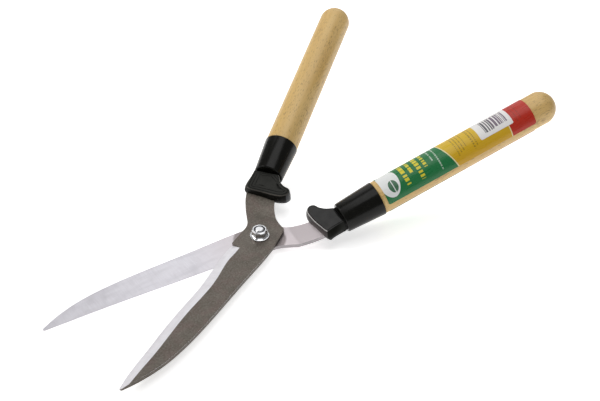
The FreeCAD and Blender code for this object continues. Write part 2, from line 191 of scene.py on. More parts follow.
def wrapped_sheet(name, start, end, inner, outer, low, wrap, lift):
    """A thin sheet wrapped round the handle, with rounded corners. Its free edges lift a little."""
    across, around = 48, 120
    corner = 1.6 * MM
    lifted = 3 * MM             # how far round from a free edge the sheet lifts
    waviness = 0.02 * MM
    mesh = bmesh.new()
    skins = []
    for radius in (outer, inner):
        skin = []
        for i in range(around + 1):
            t = i / around
            row = []
            for j in range(across + 1):
                s = j / across
                arc_left = min(t, 1 - t) * math.radians(wrap) * inner
                cut = 0.0
                if arc_left < corner:
                    cut = corner - math.sqrt(corner ** 2 - (corner - arc_left) ** 2)
                x = start + cut + (end - start - 2 * cut) * s
                rise = lift * max(0.0, 1 - arc_left / lifted) ** 2
                wave = waviness * noise.noise(Vector((x * 60, t * 9, 3.1)))
                angle = math.radians(low + wrap * t)
                r = radius + rise + (wave if 0 < j < across else 0.0)
                row.append(mesh.verts.new((x, r * math.sin(angle), r * math.cos(angle))))
            skin.append(row)
        skins.append(skin)
    top, bottom = skins
    for i in range(around):
        for j in range(across):
            mesh.faces.new((top[i][j], top[i][j + 1], top[i + 1][j + 1], top[i + 1][j]))
            mesh.faces.new((bottom[i][j], bottom[i + 1][j], bottom[i + 1][j + 1], bottom[i][j + 1]))
    for i in range(around):
        for j, flip in ((0, False), (across, True)):
            quad = [top[i][j], top[i + 1][j], bottom[i + 1][j], bottom[i][j]]
            mesh.faces.new(quad[::-1] if flip else quad)
    for j in range(across):
        for i, flip in ((0, True), (around, False)):
            quad = [top[i][j], top[i][j + 1], bottom[i][j + 1], bottom[i][j]]
            mesh.faces.new(quad if flip else quad[::-1])
    return finished(name, mesh)


def softened(name, node, place, width, share):
    """A copy of a CAD node's mesh in its own frame, with every sharp edge rounded over.
    share(edge) gives how much of the width an edge gets."""
    mesh = bmesh.new()
    mesh.from_mesh(frame["nodes"][node].data)
    mesh.transform(place.inverted())
    bmesh.ops.remove_doubles(mesh, verts=mesh.verts, dist=0.004 * MM)
    bmesh.ops.dissolve_limit(mesh, angle_limit=math.radians(0.4), verts=mesh.verts,
                             edges=mesh.edges)
    weight = mesh.edges.layers.float.new("bevel_weight_edge")
    for edge in mesh.edges:
        if len(edge.link_faces) == 2 and edge.calc_face_angle(0) > math.radians(SHARP_ANGLE):
            edge[weight] = share(edge)
    for face in mesh.faces:
        face.smooth = True
    data = bpy.data.meshes.new(name)
    mesh.to_mesh(data)
    mesh.free()
    holder = bpy.data.objects.new(name + "_tool", data)
    bpy.context.scene.collection.objects.link(holder)
    bevel = holder.modifiers.new("round", "BEVEL")
    bevel.width = width
    bevel.segments = 3
    bevel.limit_method = "WEIGHT"
    bevel.miter_outer = "MITER_ARC"
    bevel.use_clamp_overlap = True
    bevel.material = STEEL_SLOTS["edge"]
    flatten = holder.modifiers.new("flatten", "WEIGHTED_NORMAL")
    flatten.weight = 90
    graph = bpy.context.evaluated_depsgraph_get()
    result = bpy.data.meshes.new_from_object(holder.evaluated_get(graph))
    bpy.data.objects.remove(holder)
    result.name = name
    return result


# ---- materials ----------------------------------------------------------------------
class Look:
    """A node material, with short calls for the nodes that the looks below use.
    With a frame, its textures lie in that frame instead of the row's."""

    def __init__(self, name, place=None):
        self.material = bpy.data.materials.new(name)
        self.material.use_nodes = True
        self.nodes = self.material.node_tree.nodes
        self.links = self.material.node_tree.links
        self.shader = self.nodes["Principled BSDF"]
        self.place = self.nodes.new("ShaderNodeTexCoord").outputs["Object"]
        if place:
            local = self.nodes.new("ShaderNodeMapping")
            local.vector_type = "TEXTURE"
            self.links.new(self.place, local.inputs["Vector"])
            local.inputs["Location"].default_value = place.translation
            local.inputs["Rotation"].default_value = place.to_euler()
            self.place = local.outputs["Vector"]

    def put(self, socket, value):
        """Links a socket to a node's output, or sets it to a plain value."""
        if isinstance(value, bpy.types.NodeSocket):
            self.links.new(value, socket)
        else:
            socket.default_value = value

    def stretched(self, x, y, z, shift=(0, 0, 0)):
        """The place scaled by features per metre along each axis."""
        node = self.nodes.new("ShaderNodeMapping")
        self.links.new(self.place, node.inputs["Vector"])
        node.inputs["Scale"].default_value = (x, y, z)
        node.inputs["Location"].default_value = shift
        return node.outputs["Vector"]

    def noise(self, vector, detail=4.0, roughness=0.55, distortion=0.0):
        node = self.nodes.new("ShaderNodeTexNoise")
        self.links.new(vector, node.inputs["Vector"])
        for socket, value in (("Scale", 1.0), ("Detail", detail), ("Roughness", roughness),
                              ("Distortion", distortion)):
            node.inputs[socket].default_value = value
        return node.outputs["Fac"]

    def math(self, kind, a, b=0.0, c=0.0):
        node = self.nodes.new("ShaderNodeMath")
        node.operation = kind
        for socket, value in zip(node.inputs, (a, b, c)):
            self.put(socket, value)
        return node.outputs["Value"]

    def spread(self, value, low, high, out_low=0.0, out_high=1.0):
        """Maps low..high to out_low..out_high and clamps."""
        node = self.nodes.new("ShaderNodeMapRange")
        self.put(node.inputs["Value"], value)
        for socket, number in (("From Min", low), ("From Max", high), ("To Min", out_low),
                               ("To Max", out_high)):
            self.put(node.inputs[socket], number)
        return node.outputs["Result"]

    def put_colour(self, socket, colour):
        self.put(socket, colour if isinstance(colour, bpy.types.NodeSocket) else (*colour, 1))

    def mix(self, share, a, b):
        """Colour a where share is 0, and b where it is 1."""
        node = self.nodes.new("ShaderNodeMix")
        node.data_type = "RGBA"
        self.put(node.inputs["Factor"], share)
        self.put_colour(node.inputs["A"], a)
        self.put_colour(node.inputs["B"], b)
        return node.outputs["Result"]

    def parts(self):
        node = self.nodes.new("ShaderNodeSeparateXYZ")
        self.links.new(self.place, node.inputs[0])
        return node.outputs["X"], node.outputs["Y"], node.outputs["Z"]

    def bump(self, height, distance, strength=1.0, below=None):
        node = self.nodes.new("ShaderNodeBump")
        node.inputs["Strength"].default_value = strength
        node.inputs["Distance"].default_value = distance
        self.links.new(height, node.inputs["Height"])
        if below:
            self.links.new(below, node.inputs["Normal"])
        return node.outputs["Normal"]

    def finish(self, colour, roughness, metallic=0.0, normal=None, **extra):
        """Fills the shader. extra sets its other sockets, with _ for a space in their names."""
        self.put_colour(self.shader.inputs["Base Color"], colour)
        self.put(self.shader.inputs["Roughness"], roughness)
        self.put(self.shader.inputs["Metallic"], metallic)
        if normal:
            self.put(self.shader.inputs["Normal"], normal)
        for socket, value in extra.items():
            self.shader.inputs[socket.replace("_", " ")].default_value = value
        return self.material


def wood_look(side, shift):
    """Pale varnished hardwood: long soft grain, growth bands and short dark pores."""
    k = Look(side + "_handle_wood", handle_frame(side))
    grain = k.noise(k.stretched(9, 150, 150, shift), detail=6, distortion=0.6)
    tone = k.noise(k.stretched(5, 34, 34, shift), detail=3, distortion=1.2)
    bands = k.noise(k.stretched(3.5, 60, 22, shift), detail=2, distortion=2.0)
    pores = k.noise(k.stretched(230, 1500, 1500, shift), detail=2, roughness=0.5)
    patches = k.noise(k.stretched(14, 90, 90, shift), detail=2)
    colour = k.mix(k.spread(tone, 0.3, 0.7), (0.605, 0.385, 0.12), (0.715, 0.485, 0.18))
    colour = k.mix(k.spread(bands, 0.5, 0.75, 0.0, 0.55), colour, (0.54, 0.33, 0.105))
    colour = k.mix(k.spread(grain, 0.35, 0.7, 0.0, 0.45), colour, (0.73, 0.53, 0.245))
    density = k.spread(patches, 0.35, 0.65, 0.61, 0.54)
    mark = k.math("MULTIPLY", k.spread(k.math("SUBTRACT", pores, density), 0.0, 0.09), 0.7)
    colour = k.mix(mark, colour, (0.25, 0.14, 0.05))
    rough = k.spread(grain, 0.3, 0.7, 0.36, 0.48)
    normal = k.bump(k.math("MULTIPLY", mark, -1.0), 0.05 * MM, 0.5)
    normal = k.bump(grain, 0.06 * MM, 0.4, below=normal)
    return k.finish(colour, rough, 0.0, normal, Coat_Weight=0.12, Coat_Roughness=0.25)


def scaled(colour, share):
    return tuple(share * c for c in colour)


def dark_steel_look(name, place, share):
    """Heat-darkened plate: mottled and speckled brown-grey. share scales its brightness; darker
    copies use it for painted shade.
    """
    k = Look(name, place)
    cloud = k.noise(k.stretched(60, 60, 60), detail=5, roughness=0.6)
    tint = k.noise(k.stretched(95, 95, 95, (7, 3, 1)), detail=2)
    fine = k.noise(k.stretched(900, 1500, 900), detail=3)
    scratch = k.noise(k.stretched(60, 2600, 400, (2, 5, 0)), detail=2)
    speck = k.noise(k.stretched(620, 620, 620, (1, 2, 3)), detail=3, roughness=0.6)
    low, high = scaled((0.112, 0.099, 0.080), share), scaled((0.170, 0.150, 0.128), share)
    warm, bare = scaled((0.172, 0.124, 0.112), share), scaled((0.27, 0.25, 0.22), share)
    dark, light = scaled((0.074, 0.065, 0.054), share), scaled((0.235, 0.212, 0.182), share)
    colour = k.mix(k.spread(cloud, 0.3, 0.7), low, high)
    colour = k.mix(k.spread(tint, 0.45, 0.7, 0.0, 0.6), colour, warm)
    colour = k.mix(k.spread(speck, 0.5, 0.3, 0.0, 0.5), colour, dark)
    colour = k.mix(k.spread(speck, 0.5, 0.7, 0.0, 0.5), colour, light)
    colour = k.mix(k.spread(scratch, 0.66, 0.74, 0.0, 0.35), colour, bare)
    rough = k.spread(fine, 0.3, 0.7, 0.42, 0.56)
    return k.finish(colour, rough, 0.6, k.bump(fine, 0.03 * MM, 0.5))


PAINTED_PLATE_SHADOW = (0.16, 0.13, 0.125)    # painted shadow: a darkened disc round the pivot on the rear steel, where the front plate shades the rear tang
PAINTED_SHADOW_R = 25 * MM


def ground_steel_look(name, place, low, high, rough, tang=None, metal=0.8):
    """Bright ground steel with fine marks across the blade. With tang, the tone behind the
    pivot, there is also a painted shadow: a darkened disc round the pivot."""
    k = Look(name, place)
    marks = k.noise(k.stretched(1500, 45, 300), detail=3, roughness=0.6)
    broad = k.noise(k.stretched(150, 55, 100, (1, 4, 2)), detail=4)
    cloud = k.noise(k.stretched(30, 60, 30), detail=3)
    streak = k.noise(k.stretched(22, 110, 60, (5, 1, 2)), detail=4)
    fine = k.noise(k.stretched(3600, 220, 700, (3, 1, 0)), detail=2)
    colour = k.mix(k.spread(marks, 0.25, 0.75), low, high)
    colour = k.mix(k.spread(broad, 0.48, 0.72, 0.0, 0.5), colour, scaled(low, 0.84))
    colour = k.mix(k.spread(cloud, 0.35, 0.65, 0.0, 0.55), colour, high)
    colour = k.mix(k.spread(streak, 0.45, 0.7, 0.0, 0.45), colour, scaled(low, 0.82))
    if tang:
        along, across = k.parts()[:2]
        colour = k.mix(k.spread(along, 70 * MM, -5 * MM), colour, tang)
        # painted shadow of the front plate: a ragged darkened disc round the pivot
        radius = k.math("SQRT", k.math("ADD", k.math("MULTIPLY", along, along),
                                       k.math("MULTIPLY", across, across)))
        ragged_shadow_radius = k.math("ADD", radius, k.math("MULTIPLY", cloud, 3 * MM))
        inside = k.spread(ragged_shadow_radius, PAINTED_SHADOW_R + 2 * MM, PAINTED_SHADOW_R, 0.0, 0.7)
        colour = k.mix(inside, colour, PAINTED_PLATE_SHADOW)
    normal = k.bump(marks, 0.02 * MM, 0.3)
    normal = k.bump(fine, 0.012 * MM, 0.35, below=normal)
    return k.finish(colour, k.spread(marks, 0.3, 0.7, *rough), metal, normal)


def edge_wear_and_highlight_look(name, place, colour, metal=0.9):
    """Steel rubbed bright along an edge; on the dark front blade the brightness is also a painted
    highlight.
    """
    k = Look(name, place)
    rub = k.noise(k.stretched(240, 240, 240), detail=3)
    tone = k.mix(k.spread(rub, 0.35, 0.65), scaled(colour, 0.55), colour)
    fine = k.noise(k.stretched(1800, 1800, 1800), detail=2)
    return k.finish(tone, k.spread(rub, 0.3, 0.7, 0.28, 0.42), metal, k.bump(fine, 0.02 * MM, 0.4))


def bumper_look(name, low, high, rough, specular):
    """Moulded black rubber-like plastic with a fine texture."""
    k = Look(name)
    grain = k.noise(k.stretched(2600, 2600, 2600), detail=2)
    cloud = k.noise(k.stretched(110, 110, 110), detail=3)
    colour = k.mix(k.spread(cloud, 0.3, 0.7), low, high)
    rough = k.spread(grain, 0.3, 0.7, rough, rough + 0.14)
    return k.finish(colour, rough, 0.0, k.bump(grain, 0.05 * MM, 0.4), Specular_IOR_Level=specular)


def bumper_looks(side):
    """The looks of the block's top, rim, grooves, outer and inner sides, front, and toe's end:
    copies of one plastic with painted light and shade, the rim a painted highlight, the grooves and
    sides painted shade, the toe's end painted light.
    """
    # the front wall is painted shade on the front bumper and a warm painted reflection on the rear
    # one
    tones = {
        "front": [((0.010, 0.0105, 0.008), (0.018, 0.018, 0.015), 0.38, 0.22),
                  ((0.045, 0.040, 0.034), (0.090, 0.080, 0.070), 0.26, 0.5),
                  ((0.003, 0.003, 0.003), (0.006, 0.006, 0.005), 0.5, 0.1),
                  ((0.006, 0.0065, 0.004), (0.012, 0.012, 0.009), 0.42, 0.12),
                  ((0.003, 0.003, 0.002), (0.007, 0.0065, 0.005), 0.36, 0.12),
                  ((0.030, 0.031, 0.034), (0.048, 0.050, 0.055), 0.36, 0.3)],
        "rear": [((0.022, 0.022, 0.022), (0.034, 0.034, 0.034), 0.38, 0.25),
                 ((0.30, 0.295, 0.29), (0.55, 0.54, 0.53), 0.24, 0.5),
                 ((0.005, 0.005, 0.005), (0.009, 0.009, 0.008), 0.5, 0.1),
                 ((0.004, 0.0045, 0.003), (0.009, 0.009, 0.007), 0.42, 0.1),
                 ((0.022, 0.018, 0.017), (0.038, 0.031, 0.030), 0.30, 0.35),
                 ((0.030, 0.030, 0.030), (0.050, 0.050, 0.050), 0.36, 0.3)]}
    parts = ("top", "rim", "shaded_groove", "side", "front", "lit_nose")
    return [bumper_look(side + "_bumper_" + part, *tone) for part, tone in zip(parts, tones[side])]


def ferrule_look(side):
    """Black stoved enamel with faint drawing lines and rub marks."""
    k = Look(side + "_ferrule_enamel", handle_frame(side))
    lines = k.noise(k.stretched(40, 900, 900), detail=3)
    rub = k.noise(k.stretched(120, 260, 260, (3, 3, 3)), detail=4, roughness=0.65)
    peel = k.noise(k.stretched(420, 420, 420), detail=2)
    colour = k.mix(k.spread(rub, 0.5, 0.75, 0.0, 0.6), (0.004, 0.004, 0.003), (0.011, 0.011, 0.008))
    rough = k.spread(lines, 0.3, 0.7, 0.19, 0.27)
    return k.finish(colour, rough, 0.0, k.bump(peel, 0.02 * MM, 0.25), Specular_IOR_Level=0.2)


def zinc_look(name, rough_low=0.18, rough_high=0.28):
    """Bright zinc plate with small dents and a cloudy sheen."""
    k = Look(name)
    cloud = k.noise(k.stretched(420, 420, 420), detail=4)
    fine = k.noise(k.stretched(1900, 1900, 1900), detail=2)
    colour = k.mix(k.spread(cloud, 0.3, 0.7), (0.70, 0.71, 0.73), (0.88, 0.89, 0.91))
    rough = k.spread(cloud, 0.3, 0.7, rough_low, rough_high)
    return k.finish(colour, rough, 1.0, k.bump(fine, 0.005 * MM, 0.2))


def nylon_look():
    """Dark blue-grey nylon."""
    k = Look("insert_nylon")
    cloud = k.noise(k.stretched(700, 700, 700), detail=3)
    colour = k.mix(k.spread(cloud, 0.3, 0.7), (0.020, 0.021, 0.026), (0.036, 0.038, 0.046))
    rough = k.spread(cloud, 0.3, 0.7, 0.32, 0.45)
    return k.finish(colour, rough, 0.0, k.bump(cloud, 0.03 * MM, 0.4))


class Print(Look):
    """A printed sheet round the handle: a is the distance from the ferrule's mouth in
    millimetres, and phi the angle in degrees from the top line, minus on the outer side."""

    def __init__(self, name):
        super().__init__(name, handle_frame("rear"))
        x, y, z = self.parts()
        self.a = self.math("MULTIPLY", x, 1 / MM)
        self.phi = self.math("MULTIPLY", self.math("ARCTAN2", y, z), math.degrees(1))
        self.y, self.z = y, z

    def within(self, value, low, high):
        """1 where a value lies between two limits, and 0 elsewhere."""
        above = self.math("GREATER_THAN", value, low)
        return self.math("MULTIPLY", above, self.math("LESS_THAN", value, high))

    def patch(self, a_low, a_high, phi_low, phi_high):
        """1 inside a rectangle of the sheet."""
        return self.math("MULTIPLY", self.within(self.a, a_low, a_high),
                         self.within(self.phi, phi_low, phi_high))

    def blocks(self, a_low, a_high, phi_low, phi_high, pitch, seed):
        """A row of plain blocks of uneven length, in place of a line of print."""
        cell = self.math("FLOOR", self.math("DIVIDE", self.phi, pitch))
        length = self.spread(self.pick(self.math("ADD", cell, seed)), 0, 1, 0.45, 0.95)
        share = self.math("FRACT", self.math("DIVIDE", self.phi, pitch))
        filled = self.math("LESS_THAN", share, length)
        return self.math("MULTIPLY", self.patch(a_low, a_high, phi_low, phi_high), filled)

    def pick(self, number):
        """A fixed random share for each number."""
        node = self.nodes.new("ShaderNodeTexWhiteNoise")
        node.noise_dimensions = "1D"
        self.links.new(number, node.inputs["W"])
        return node.outputs["Value"]

    def oval(self, a_middle, a_half, phi_middle, phi_half):
        """1 inside an oval of the sheet."""
        across = self.math("DIVIDE", self.math("SUBTRACT", self.a, a_middle), a_half)
        around = self.math("DIVIDE", self.math("SUBTRACT", self.phi, phi_middle), phi_half)
        far = self.math("ADD", self.math("MULTIPLY", across, across),
                        self.math("MULTIPLY", around, around))
        return self.math("LESS_THAN", far, 1.0)


# the label's fields in millimetres from the ferrule's mouth: green, then yellow, then red
GREEN_END = 76.2
GREEN_SLANT = 5.6               # how far the slanted end of the green field strays from there
GREEN_SLANT_TURN = 38           # degrees from the top line to the slant's middle, outward
YELLOW_END = 140.5
FIELD_LINE = 0.6                # the longer half of the pale line between two fields
# rows of plain blocks: a from and to, phi from and to, pitch in degrees, seed
YELLOW_ROWS = [(27.8, 32.0, -57, 42, 15, 3), (35.6, 38.8, -28, 40, 13, 17),
               (42.8, 47.2, -63, 44, 14, 31), (50.4, 53.6, -32, 38, 12, 47)]
PALE_ROWS = [(59.2, 60.6, -25, 40, 9, 5), (64.4, 65.8, -67, 36, 8, 12)]
BROWN_ROWS = [(84.6, 85.7, -55, 40, 7, 2), (87.7, 88.8, -50, 40, 6, 8),
              (90.7, 91.8, -46, 40, 8, 21), (94.2, 95.0, -38, 40, 6, 13),
              (101.2, 102.8, -60, 40, 9, 27), (104.6, 105.8, -52, 40, 7, 33)]
RED_ROWS = [(150.0, 151.2, -50, 40, 8, 6), (154.0, 155.2, -44, 40, 7, 16)]


def label_look():
    """The printed sleeve: green, yellow and red fields, a plain badge and rows of plain blocks."""
    k = Print("label_film")
    green, yellow, red = (0.003, 0.165, 0.045), (0.600, 0.325, 0.0002), (0.470, 0.015, 0.003)
    pale = (0.80, 0.72, 0.42)
    badge_white, badge_green = (0.80, 0.82, 0.82), (0.010, 0.120, 0.045)
    tilt = math.radians(GREEN_SLANT_TURN)
    lean = k.math("ADD", k.math("MULTIPLY", k.y, math.cos(tilt) / LABEL_R),
                  k.math("MULTIPLY", k.z, math.sin(tilt) / LABEL_R))
    past = k.math("ADD", k.a, k.math("MULTIPLY", lean, GREEN_SLANT))
    colour = k.mix(k.math("GREATER_THAN", past, GREEN_END), green, yellow)
    colour = k.mix(k.within(past, GREEN_END - 0.5, GREEN_END + FIELD_LINE), colour, pale)
    # painted light: the yellow field turns lighter from the outer side towards the top line
    painted_light_share = k.spread(k.phi, -90, -10, 0.0, 0.5)
    painted_light_on_yellow = k.math("MULTIPLY", painted_light_share, k.within(past, GREEN_END + FIELD_LINE, YELLOW_END))
    colour = k.mix(painted_light_on_yellow, colour, (0.74, 0.56, 0.03))
    colour = k.mix(k.math("GREATER_THAN", k.a, YELLOW_END), colour, red)
    colour = k.mix(k.within(k.a, YELLOW_END - FIELD_LINE, YELLOW_END + 0.4), colour, pale)
    for row in YELLOW_ROWS:
        colour = k.mix(k.blocks(*row), colour, (0.70, 0.60, 0.03))
    for row in PALE_ROWS:
        colour = k.mix(k.math("MULTIPLY", k.blocks(*row), 0.6), colour, (0.70, 0.80, 0.70))
    for row in BROWN_ROWS:
        colour = k.mix(k.math("MULTIPLY", k.blocks(*row), 0.75), colour, (0.20, 0.12, 0.01))
    for row in RED_ROWS:
        colour = k.mix(k.math("MULTIPLY", k.blocks(*row), 0.5), colour, (0.20, 0.02, 0.01))
    colour = k.mix(k.oval(13.2, 10.2, -12.0, 59.0), colour, badge_white)
    colour = k.mix(k.math("MULTIPLY", k.oval(15.5, 4.6, -36.0, 22.0), 0.95), colour, badge_green)
    colour = k.mix(k.patch(15.1, 15.9, -58.0, -14.0), colour, badge_white)
    ink = k.noise(k.stretched(1200, 1200, 1200), detail=2)
    colour = k.mix(k.spread(ink, 0.3, 0.7, 0.0, 0.05), colour, (0.5, 0.5, 0.4))
    scuff = k.noise(k.stretched(60, 500, 500), detail=4)
    rough = k.spread(scuff, 0.35, 0.7, 0.24, 0.40)
    return k.finish(colour, rough, 0.0, k.bump(scuff, 0.02 * MM, 0.3), Specular_IOR_Level=0.35)


def sticker_look():
    """A white paper sticker with plain bars of uneven width, darker in its first half."""
    k = Print("sticker_paper")
    colour = (0.82, 0.81, 0.80)
    bars_per_mm = 1.6
    step = k.math("FLOOR", k.math("MULTIPLY", k.a, bars_per_mm))
    bar = k.math("GREATER_THAN", k.pick(step), 0.48)
    dark = k.math("MULTIPLY", bar, k.patch(114.2, 127.2, -32, 22))
    light = k.math("MULTIPLY", bar, k.patch(127.2, 142.0, -29, 22))
    colour = k.mix(dark, colour, (0.07, 0.06, 0.08))
    colour = k.mix(light, colour, (0.16, 0.12, 0.17))
    fibre = k.noise(k.stretched(900, 900, 900), detail=3)
    colour = k.mix(k.spread(fibre, 0.35, 0.7, 0.0, 0.12), colour, (0.62, 0.60, 0.60))
    rough = k.spread(fibre, 0.3, 0.7, 0.42, 0.55)
    return k.finish(colour, rough, 0.0, k.bump(fibre, 0.02 * MM, 0.3))


# ---- the pieces ---------------------------------------------------------------------
def add_steel(side, materials, bevel_up):
    """A blade with its tang: rounded edges, a ground bevel, rubbed edges with a painted highlight
    on the front blade, and side walls and lower edges with painted shade. materials has one for
    each of STEEL_SLOTS, and bevel_up is 1 where the bevel faces up."""
    place = blade_frame(side)
    sign = 1 if side == "front" else -1
    heel, tip = 17 * MM, 195 * MM

    def edge_share(edge):
        """Less rounding at the tip and along the cutting edge, more under the tang, which widens
        the lower edges' strip of painted shade there.
        """
        middle = (edge.verts[0].co + edge.verts[1].co) / 2
        if middle.x > tip:
            return 0.15
        if middle.x > heel:
            return 0.25 if sign * middle.y < -1 * MM else 1.0
        return 2.4 if min(face.normal.z for face in edge.link_faces) < -0.6 else 1.0

    mesh = softened(side + "_blade_steel", side + "_blade", place, 0.42 * MM, edge_share)
    mesh.materials.clear()
    for material in materials:
        mesh.materials.append(material)
    # how far a normal leans towards the vertical on the flats, the bevel and the walls
    flat, bevel_low, wall = 0.998, 0.6, 0.5
    for face in mesh.polygons:
        tilt = face.normal.z * bevel_up
        # walls and downward edge strips take darker copies of the steel, painted shade
        if face.material_index == STEEL_SLOTS["edge"]:
            part = "shaded_lower_edge" if face.normal.z < 0 else "edge"
        elif face.center.x > heel and bevel_low < tilt < flat:
            part = "bevel"
        else:
            part = "wall" if abs(face.normal.z) < wall else "face"
        face.material_index = STEEL_SLOTS[part]
    add_piece(mesh.name, mesh, place, BODIES[side], materials, side + "_blade", smooth=None)


def add_ferrule(side, material):
    """The enamelled socket: a chamfered front rim, a slight taper and a thin rolled mouth.
    It is closed a little way inside the mouth, behind the wood."""
    wall, chamfer = 0.9 * MM, 0.8 * MM
    back, inside = -FERRULE_LENGTH, -6 * MM
    points = [(back, 0), (back, FERRULE_SMALL_R - chamfer), (back + chamfer, FERRULE_SMALL_R),
              (-0.1 * MM, FERRULE_LARGE_R), (0, FERRULE_LARGE_R - wall),
              (inside, FERRULE_LARGE_R - wall - 0.3 * MM), (inside, 0)]
    radii = [0, 0.25 * MM, 0.25 * MM, 0.35 * MM, 0.3 * MM, 0, 0]
    mesh = lathe(side + "_ferrule_shell", rounded(points, radii))
    add_piece(mesh.name, mesh, handle_frame(side), BODIES[side], [material],
              side + "_ferrule")


def add_handle(side, material, seed):
    """The turned grip: a relieved shoulder at the ferrule, and a domed end."""
    spigot, spigot_end = FERRULE_LARGE_R - 1.1 * MM, -5 * MM
    shoulder = 4 * MM
    inside = 0.05 * MM          # how far the wood stays inside the CAD's round
    profile = rounded([(spigot_end, 0), (spigot_end, spigot - 0.2 * MM), (0.2 * MM, spigot),
                       (0.9 * MM, GRIP_R - 0.06 * MM), (shoulder, GRIP_R - inside)],
                      [0, 0.2 * MM, 0.2 * MM, 0.4 * MM, 0], steps=3)
    length_steps, dome_steps = 46, 18
    profile += [(shoulder + (GRIP_LENGTH - shoulder) * i / length_steps, GRIP_R - inside)
                for i in range(1, length_steps + 1)]
    ball = (GRIP_R ** 2 + GRIP_DOME ** 2) / (2 * GRIP_DOME)
    middle = GRIP_LENGTH + GRIP_DOME - ball
    for i in range(1, dome_steps):
        angle = math.asin(GRIP_R / ball) * (1 - i / dome_steps)
        profile.append((middle + ball * math.cos(angle), (ball - inside) * math.sin(angle)))
    profile.append((GRIP_LENGTH + GRIP_DOME, 0))

    def turned(x, r, angle):
        """Slight waviness left by turning and sanding."""
        spot = Vector((x * 26 + seed, math.cos(angle) * 1.1, math.sin(angle) * 1.1))
        waviness = 0.003
        return x, r * (1 + waviness * (noise.noise(spot) - 0.35))

    mesh = lathe(side + "_grip", profile, shape=turned)
    add_piece(mesh.name, mesh, handle_frame(side), BODIES[side], [material],
              side + "_handle")


def catmull(points, steps):
    """A smooth line through points, with steps pieces between each pair."""
    ends = [2 * points[0] - points[1]] + points + [2 * points[-1] - points[-2]]
    result = []
    for p0, p1, p2, p3 in zip(ends, ends[1:], ends[2:], ends[3:]):
        for k in range(steps):
            t = k / steps
            result.append(0.5 * (2 * p1 + (p2 - p0) * t + (2 * p0 - 5 * p1 + 4 * p2 - p3) * t * t
                                 + (3 * p1 - p0 - 3 * p2 + p3) * t ** 3))
    result.append(points[-1])
    return result


# the bumpers from above, in millimetres along the handle's axis from the tang's bend and
# outward: from the outer side round the front and the toe to the inner side
BUMPER_GIRTH = {
    "front": [(45.6, 13.0), (34.0, 16.6), (27.2, 16.9), (23.2, 14.8), (21.8, 8.0), (20.9, -4.0),
              (19.3, -14.0), (19.6, -21.0), (22.0, -27.0), (27.8, -29.7), (32.8, -27.6),
              (35.8, -20.8), (39.6, -15.9), (45.6, -13.0)],
    "rear": [(45.6, 13.0), (34.0, 16.4), (28.8, 16.5), (25.3, 14.6), (23.8, 8.0), (22.1, -4.0),
             (20.6, -13.0), (20.8, -19.6), (23.0, -25.4), (28.2, -28.0), (32.8, -25.6),
             (35.6, -19.8), (39.4, -15.9), (45.6, -13.0)]}
BUMPER_FACE = {
    "front": [(45.6, 12.6), (34.0, 13.1), (27.6, 13.2), (24.0, 11.9), (22.8, 7.0), (22.2, -5.0),
              (21.7, -14.0), (21.9, -20.5), (24.0, -26.6), (28.6, -29.2), (32.4, -27.2),
              (34.4, -21.6), (38.6, -16.4), (45.6, -12.8)],
    "rear": [(45.6, 12.7), (34.0, 13.2), (30.2, 13.8), (27.6, 13.4), (26.0, 7.0), (24.0, -4.5),
             (23.4, -13.0), (23.5, -19.0), (25.1, -24.4), (28.8, -27.0), (33.0, -25.2),
             (35.6, -19.0), (40.0, -13.2), (45.6, -9.0)]}
BUMPER_SPINE = [(39.0, 2.0), (32.0, 1.0), (29.0, -9.0), (28.6, -23.0)]  # insets head for this line
BUMPER_TOP = 8.2
BUMPER_MIDDLE = 1.6             # height of the widest outline
BUMPER_BOTTOM = -5.8
BUMPER_FOOT_SHRINK = 1.4        # the foot's outline is drawn in this much further than the top's
BUMPER_CURVE = 1.6              # power of the height by which the outline is drawn in
BUMPER_OUTLINE_STEPS = 8        # between two points of an outline
BUMPER_BACK_STEPS = 12          # along the straight back
# inset and depth of the top's lines from the edge inward, and the look up to the next line; the rim
# look is a painted highlight and the groove look painted shade
BUMPER_STEPS = {
    "front": [(0.0, 0.6, "rim"), (0.5, 0.0, "top"), (1.5, 0.0, "shaded_groove"), (1.6, 0.35, "shaded_groove"),
              (2.0, 0.35, "shaded_groove"), (2.1, 0.0, "top"), (4.2, 0.0, "shaded_groove"), (4.3, 0.3, "shaded_groove"),
              (4.7, 0.3, "shaded_groove"), (4.8, 0.0, "top"), (7.2, 0.0, "shaded_groove"), (7.3, 0.25, "shaded_groove"),
              (7.7, 0.25, "shaded_groove"), (7.8, 0.0, "top")],
    "rear": [(0.0, 0.5, "rim"), (0.5, 0.0, "shaded_groove"), (0.6, 0.25, "shaded_groove"), (1.1, 0.25, "shaded_groove"),
             (1.2, 0.0, "top")]}
# inset and height of the rounded lower edge
BUMPER_FOOT = [(1.6, 0.0), (0.8, 0.3), (0.2, 0.9), (0.0, 1.4)]
BUMPER_WALL_STEPS = 16
# slots for the per-part copies of the plastic with painted light and shade
BUMPER_SLOTS = {"top": 0, "rim": 1, "shaded_groove": 2, "side": 3, "front": 4, "lit_nose": 5}
NECK_HALF_WIDTH = 12.6
NECK_HALF_HEIGHT = 5.6
NECK_FRONT = BUMPER_GIRTH["front"][0][0] - 0.5
NECK_BACK = 47.7
NECK_CORNER = 2.5
NECK_CORNER_STEPS = 5


def nearest_on(spine, point):
    """The point of a broken line nearest to a point."""
    best = None
    for a, b in zip(spine, spine[1:]):
        t = max(0.0, min(1.0, (point - a).dot(b - a) / (b - a).length_squared))
        spot = a + (b - a) * t
        if best is None or (point - spot).length < (point - best).length:
            best = spot
    return best


